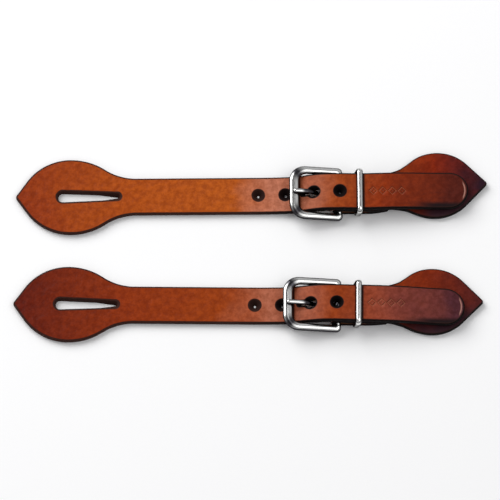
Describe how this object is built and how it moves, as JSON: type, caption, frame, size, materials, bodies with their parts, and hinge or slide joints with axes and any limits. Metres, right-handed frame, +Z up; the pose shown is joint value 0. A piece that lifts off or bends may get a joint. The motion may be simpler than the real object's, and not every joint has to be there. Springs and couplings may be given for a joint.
{
  "type": "western spur strap pair",
  "caption": "Pair of russet leather western spur straps with leaf ends, teardrop buttonholes, punched holes, a nickel heel-bar buckle and a metal keeper, lying buckled.",
  "frame": {"origin": "middle of the footprint of the pair, on the surface that the straps lie on", "axes": "+X along the straps from the long leaf with the open buttonhole to the short leaf, +Y from the front strap to the back strap, +Z up"},
  "size_m": [0.2508, 0.1042, 0.0128],
  "materials": {
    "russet_leather": "oiled, glossy grain side with dark burnished edges",
    "dark_leather": "oiled, darkened to burgundy towards the end",
    "nickel_plate": "polished nickel plate",
    "copper": "dull copper"
  },
  "bodies": {
    "front_chape": {"front_short_strap": "russet_leather", "front_left_rivet": "copper", "front_left_burr": "copper", "front_right_rivet": "copper", "front_right_burr": "copper"},
    "front_buckle": {"front_buckle_frame": "nickel_plate"},
    "front_tongue": {"front_buckle_tongue": "nickel_plate"},
    "front_keeper": {"front_keeper": "nickel_plate"},
    "front_strap": {"front_long_strap": "russet_leather"},
    "front_long_leaf": {"front_long_leaf": "russet_leather"},
    "front_billet": {"front_billet_end": "dark_leather"},
    "front_short_leaf": {"front_short_leaf": "dark_leather"},
    "back_chape": {"back_short_strap": "russet_leather", "back_left_rivet": "copper", "back_left_burr": "copper", "back_right_rivet": "copper", "back_right_burr": "copper"},
    "back_buckle": {"back_buckle_frame": "nickel_plate"},
    "back_tongue": {"back_buckle_tongue": "nickel_plate"},
    "back_keeper": {"back_keeper": "nickel_plate"},
    "back_strap": {"back_long_strap": "russet_leather"},
    "back_long_leaf": {"back_long_leaf": "russet_leather"},
    "back_billet": {"back_billet_end": "dark_leather"},
    "back_short_leaf": {"back_short_leaf": "dark_leather"}
  },
  "joints": [
    {"name": "front_buckle_tilt", "type": "hinge", "parent": "front_chape", "child": "front_buckle", "pos_m": [0.04612, -0.03279, 0.0036], "axis": [0.0082, 1, 0], "range_deg": [0, 3]},
    {"name": "front_tongue_lift", "type": "hinge", "parent": "front_buckle", "child": "front_tongue", "pos_m": [0.04612, -0.03279, 0.0036], "axis": [0.0082, 1, 0], "range_deg": [0, 1.2]},
    {"name": "front_keeper_slide", "type": "slide", "parent": "front_chape", "child": "front_keeper", "axis": [1, -0.0082, 0], "range_m": [-0.0015, 0.0015]},
    {"name": "front_strap_slide", "type": "slide", "parent": "front_chape", "child": "front_strap", "axis": [1, -0.0082, 0], "range_m": [0, 0.0012]},
    {"name": "front_long_leaf_flex", "type": "hinge", "parent": "front_strap", "child": "front_long_leaf", "pos_m": [-0.06038, -0.03191, 0.0017], "axis": [0.0082, 1, 0], "range_deg": [-50, 50], "stiffness_Nm_per_rad": 0.15},
    {"name": "front_billet_lift", "type": "hinge", "parent": "front_strap", "child": "front_billet", "pos_m": [0.06372, -0.03293, 0.0087], "axis": [-0.0082, -1, 0], "range_deg": [0, 50], "stiffness_Nm_per_rad": 0.15},
    {"name": "front_short_leaf_flex", "type": "hinge", "parent": "front_chape", "child": "front_short_leaf", "pos_m": [0.08212, -0.03308, 0.0017], "axis": [0.0082, 1, 0], "range_deg": [0, 50], "stiffness_Nm_per_rad": 0.15},
    {"name": "back_buckle_tilt", "type": "hinge", "parent": "back_chape", "child": "back_buckle", "pos_m": [0.04702, 0.02871, 0.0036], "axis": [-0.0073, 1, 0], "range_deg": [0, 2]},
    {"name": "back_tongue_lift", "type": "hinge", "parent": "back_buckle", "child": "back_tongue", "pos_m": [0.04702, 0.02871, 0.0036], "axis": [-0.0073, 1, 0], "range_deg": [0, 1.2]},
    {"name": "back_keeper_slide", "type": "slide", "parent": "back_chape", "child": "back_keeper", "axis": [1, 0.0073, 0], "range_m": [-0.0015, 0.0015]},
    {"name": "back_strap_slide", "type": "slide", "parent": "back_chape", "child": "back_strap", "axis": [1, 0.0073, 0], "range_m": [0, 0.0012]},
    {"name": "back_long_leaf_flex", "type": "hinge", "parent": "back_strap", "child": "back_long_leaf", "pos_m": [-0.05948, 0.02793, 0.0017], "axis": [-0.0073, 1, 0], "range_deg": [-50, 50], "stiffness_Nm_per_rad": 0.15},
    {"name": "back_billet_lift", "type": "hinge", "parent": "back_strap", "child": "back_billet", "pos_m": [0.06462, 0.02884, 0.0087], "axis": [0.0073, -1, 0], "range_deg": [0, 50], "stiffness_Nm_per_rad": 0.15},
    {"name": "back_short_leaf_flex", "type": "hinge", "parent": "back_chape", "child": "back_short_leaf", "pos_m": [0.08302, 0.02898, 0.0017], "axis": [-0.0073, 1, 0], "range_deg": [0, 50], "stiffness_Nm_per_rad": 0.15},
    {"name": "back_strap_lift", "type": "slide", "parent": "front_chape", "child": "back_chape", "axis": [0, 0, 1], "range_m": [0, 0.15]}
  ]
}
